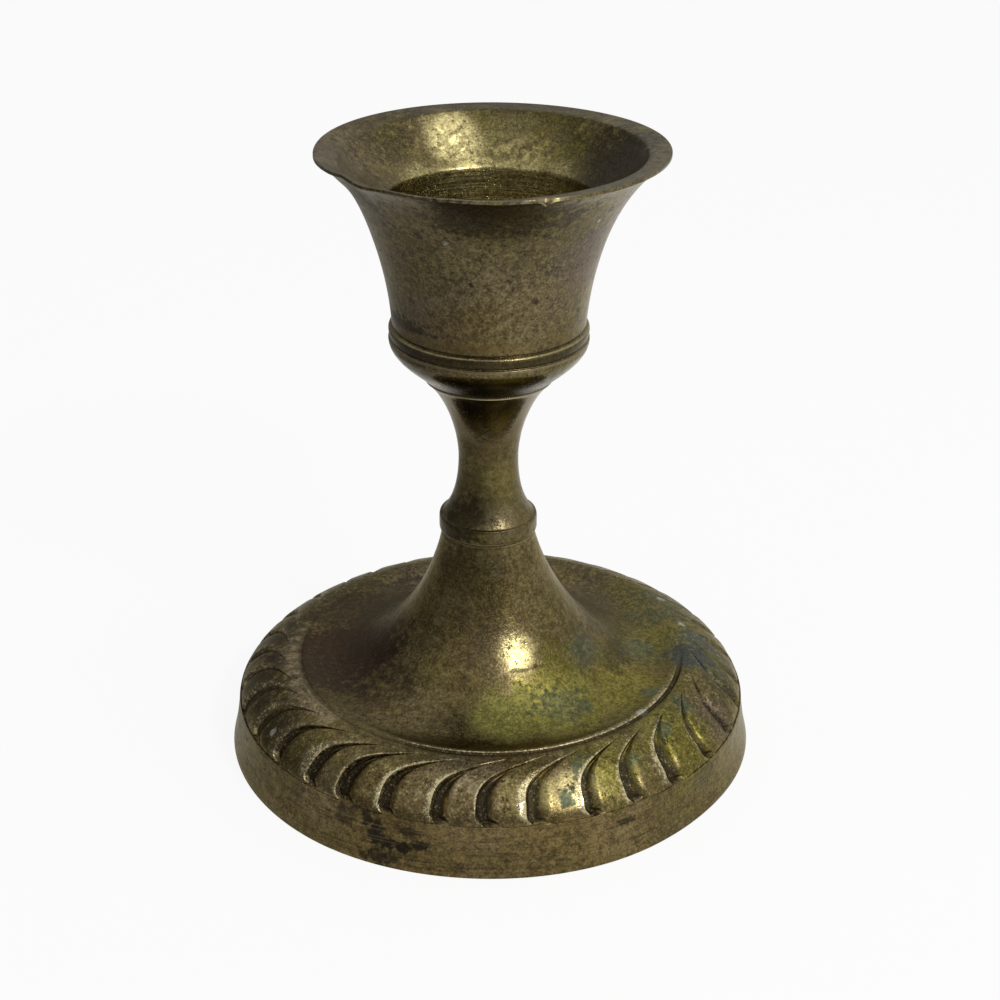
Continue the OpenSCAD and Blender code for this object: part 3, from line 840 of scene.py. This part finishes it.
                # Grime and painted shade in the ring groove, less where it is worn flat.
                v[groove] = 0.9 * (1 - worn_away)
                z += (crest[1] * MM - z) * worn_away
            elif (dome[0] - 0.25) * MM < r < (dome[0] + 0.05) * MM and z > (crest[1] - 0.5) * MM:
                # Painted highlight along the edge of the dome, strongest at the front.
                v[crown] = 0.55 * (1 - smooth(35, 60, abs(facing - 8)))
            elif r > (border[0] - 0.01) * MM and z > (skirt - 0.15) * MM:
                # Painted shade on the ledge under the border.
                v[groove] = LEDGE_SHADE * seam_shade_by_facing
            angle += size.sweep * self.swept(share) * (1 - 0.25 * smooth(15, 60, facing))
            angle += self.stray(lobe, aside, size.lobes)
            r, z = self.knocked(r, z, angle, facing)
            v.co = Vector((r * math.cos(angle), r * math.sin(angle), z))

    def knocked(self, r, z, angle, facing):
        """Radius and height once the back left is sunk and drawn in and the skirt bent."""
        back_left = max(0, math.cos(angle - math.radians(140))) ** 3
        z -= BACK_SUNK * back_left * smooth(24, 30, r / MM) * smooth(6, 11, z / MM)
        back_side = max(0, math.cos(angle - math.radians(165))) ** 6
        r -= BACK_DRAWN_IN * back_side * smooth(33, 38, r / MM)
        r += self.bent(facing) * smooth(34, 38, r / MM) * (1 - smooth(2, 8, z / MM)) * MM
        return r, z

    def beside(self, start, end, shares, steps, distance):
        """Points a distance inside the curve."""
        points = []
        for i in range(steps + 1):
            d = slope(start, end, shares, i / steps)
            r, z = cubic(start, end, shares, i / steps)
            points.append((r - d.y * distance, z + d.x * distance))
        return points

    def groove_at(self, aside, width):
        """Depth share of a groove: a steep wall, then a floor that climbs slowly on to the next lobe."""
        climb = 1 - smooth(0.17 * width, 0.42 * width, aside)
        face = 0.08 * (1 - smooth(0.36, 0.95, aside))
        return smooth(0, 0.06, aside) * max(climb, face)

    def edge_at(self, aside, soft):
        """1 along the edge above the steep wall of a groove, a wider strip where the edge is soft."""
        return max(smooth(0.90 - 0.2 * soft, 0.98, aside), 1 - smooth(0, 0.055 + 0.05 * soft, aside))

    def fade(self, share):
        """Depth share of a groove along the border."""
        if share < FADE_SHARE:
            return 1
        return math.cos(math.pi / 2 * min(1, (share - FADE_SHARE) / (1 - FADE_SHARE))) ** 1.1

    def stray(self, lobe, aside, lobes):
        """How far the hand-cut border strays from even spacing at a share of the way past a groove."""
        places = [(lobe + FIRST_STRAY + i) % lobes for i in (0, 1)]
        here, after = [STRAYS[i] if i < len(STRAYS) else 0 for i in places]
        return math.radians(here + (after - here) * aside)

    def bent(self, facing):
        """How far the bottom of the skirt is knocked out or in, in millimetres."""
        return 0.12 * hump(facing, -33, 18) - 0.4 * hump(facing, 48, 16)

    def swept(self, share):
        """Share of the sweep reached along the border."""
        return max(0, (share - SWEEP_SHARE) / (1 - SWEEP_SHARE)) ** 3.8


class CANDLE_OT_fixings(bpy.types.Operator):
    """Make the washer and the nut under the foot"""
    bl_idname = "candle.fixings"
    bl_label = "Washer and nut"

    def execute(self, context):
        steel = dull_steel("dull steel of the fixings")
        low, high, out = washer_low.z / MM, washer_high.z / MM, washer_high.x / MM
        ring = [(HOLE, low + 0.1), (HOLE + 0.1, low), (out - 0.2, low), (out, low + 0.2), (out, high - 0.05),
                (out - 0.05, high), (HOLE, high)]
        bm = turned(ring, TURNED_SIDES["washer"])
        finished("foot_washer_steel", bm, "foot_washer", steel)

        low, high = nut_low.z / MM, nut_high.z / MM
        flat, corner = nut_high.y, nut_high.x
        bore = THREAD + 0.05
        outline = [(bore + 0.4, low), (corner / MM, low), (corner / MM, high), (bore, high),
                   (bore, low + 0.4)]
        bm = turned(outline, TURNED_SIDES["nut"])
        for v in bm.verts:
            out = math.hypot(v.co.x, v.co.y)
            if out > corner * 0.9:
                angle = math.atan2(v.co.y, v.co.x)
                side = (angle + math.pi / 6) % (math.pi / 3) - math.pi / 6
                reach = flat / math.cos(math.pi / 6 - abs(side))
                v.co.x *= reach / out
                v.co.y *= reach / out
                if reach > flat * 1.02:
                    cut = (reach - flat * 1.02) * 0.6
                    v.co.z += cut if v.co.z < (low + 1) * MM else -cut
        bmesh.ops.recalc_face_normals(bm, faces=bm.faces)
        finished("foot_nut_steel", bm, "foot_nut", steel)
        return {"FINISHED"}


# Stage

LAMP_DISTANCE = 0.6


class CANDLE_OT_stage(bpy.types.Operator):
    """Set the floor, the surround, the lamps and the camera"""
    bl_idname = "candle.stage"
    bl_label = "Stage"

    def execute(self, context):
        size = context.scene.candle_stage
        self.floor(context)
        self.surround(context, size)
        self.lamp(context, "low lamp", azimuth=37, height=42, across=0.09, power=size.key)
        self.lamp(context, "high lamp", azimuth=62, height=66, across=0.26, power=size.top)
        self.camera(context, size)
        context.scene.view_settings.view_transform = "Standard"
        return {"FINISHED"}

    def floor(self, context):
        """A white floor that keeps a faint shadow, and that metal sees dimmer on the left."""
        bm = bmesh.new()
        bmesh.ops.create_grid(bm, x_segments=4, y_segments=4, size=1.5)
        mesh = bpy.data.meshes.new("floor")
        bm.to_mesh(mesh)
        bm.free()
        floor = bpy.data.objects.new("floor", mesh)
        context.scene.collection.objects.link(floor)
        f = Finish(bpy.data.materials.new("pale floor"))
        paper = f.add("ShaderNodeBsdfDiffuse", {}, Color=(0.86, 0.86, 0.85, 1))
        seen, mirrored, through = f.rays()
        dim = f.blend((f.x / 0.1).rise(-1.3, 0.7).most(seen), (0.28, 0.28, 0.28), (1, 1, 1))
        glow = f.add("ShaderNodeEmission", {}, Color=dim, Strength=1.0)
        glowing = seen.most(mirrored).most(through) * 0.9
        mesh.materials.append(f.close(f.add("ShaderNodeMixShader", {}, glowing, paper, glow)))

    def surround(self, context, size):
        """A white surround, which to metal and matt surfaces is dimmer on the left."""
        world = bpy.data.worlds.new("surround")
        context.scene.world = world
        f = Finish(world, "Generated")
        seen, mirrored, through = f.rays()
        dot = {"operation": "DOT_PRODUCT"}
        rightward = f.add("ShaderNodeVectorMath", dot, f.place, (0.56, -0.22, 0.80), output="Value")
        behind_camera = f.add("ShaderNodeVectorMath", dot, f.place, (0, -0.98, 0.18), output="Value")
        graded = size.shade + (1 - size.shade) * rightward.rise(-0.45, 0.75)
        graded = graded * (1 - behind_camera.rise(0.6, 0.95) * 0.55)
        mirrored = mirrored.most(through)
        strength = seen + (1 - seen) * graded * (mirrored + (1 - mirrored) * size.sky)
        light = f.add("ShaderNodeBackground", {}, Color=(1, 1, 1, 1), Strength=strength)
        f.close(light, "ShaderNodeOutputWorld")

    def lamp(self, context, name, azimuth, height, across, power):
        """A round lamp, azimuth degrees right of the camera and height degrees above the floor."""
        lamp = bpy.data.lights.new(name, "AREA")
        lamp.shape = "DISK"
        lamp.size = across
        lamp.energy = power
        holder = bpy.data.objects.new(name, lamp)
        context.scene.collection.objects.link(holder)
        a, e = math.radians(azimuth), math.radians(height)
        aim = Vector((0, 0, 0.045))
        back = Vector((math.sin(a) * math.cos(e), -math.cos(a) * math.cos(e), math.sin(e)))
        holder.location = aim + back * LAMP_DISTANCE
        holder.rotation_euler = (-back).to_track_quat("-Z", "Y").to_euler()

    def camera(self, context, size):
        """The camera at the photograph's angle."""
        data = bpy.data.cameras.new("camera")
        data.lens = size.lens
        data.sensor_width = 36
        data.shift_x = 0.00913
        camera = bpy.data.objects.new("camera", data)
        context.scene.collection.objects.link(camera)
        context.scene.camera = camera
        across = Vector((1, 0, 0))
        up = Vector((0, math.sin(size.tilt), math.cos(size.tilt)))
        right = across * math.cos(size.roll) + up * math.sin(size.roll)
        upright = up * math.cos(size.roll) - across * math.sin(size.roll)
        axes = Matrix((right, upright, right.cross(upright))).transposed()
        camera.rotation_euler = axes.to_euler()
        camera.location = (0, -size.distance, size.height)


class CANDLE_PT_panel(bpy.types.Panel):
    """Sizes, colours and steps of the candle holder"""
    bl_idname = "CANDLE_PT_panel"
    bl_label = "Candle holder"
    bl_space_type = "VIEW_3D"
    bl_region_type = "UI"
    bl_category = "Candle holder"

    def draw(self, context):
        for name, group, steps in GROUPS:
            box = self.layout.box()
            box.label(text=name)
            settings = getattr(context.scene, group)
            for key in type(settings).__annotations__:
                box.prop(settings, key)
            for step in steps:
                box.operator(step)


GROUPS = (
    ("Brass", "candle_brass", ()),
    ("Cup", "candle_cup", ("candle.cup",)),
    ("Stem", "candle_stem", ("candle.stem", "candle.fixings")),
    ("Foot", "candle_foot", ("candle.foot",)),
    ("Stage", "candle_stage", ("candle.stage",)),
)
SETTINGS = {
    "candle_brass": BrassSettings,
    "candle_cup": CupSettings,
    "candle_stem": StemSettings,
    "candle_foot": FootSettings,
    "candle_stage": StageSettings,
}
CLASSES = (*SETTINGS.values(), CANDLE_OT_cup, CANDLE_OT_stem, CANDLE_OT_foot, CANDLE_OT_fixings,
           CANDLE_OT_stage, CANDLE_PT_panel)


def register():
    for cls in CLASSES:
        bpy.utils.register_class(cls)
    for name, cls in SETTINGS.items():
        setattr(bpy.types.Scene, name, PointerProperty(type=cls))


def unregister():
    for name in SETTINGS:
        delattr(bpy.types.Scene, name)
    for cls in reversed(CLASSES):
        bpy.utils.unregister_class(cls)


def main():
    register()
    bpy.ops.candle.stage()
    bpy.ops.candle.cup()
    bpy.ops.candle.stem()
    bpy.ops.candle.foot()
    bpy.ops.candle.fixings()


if __name__ == "__main__":
    main()
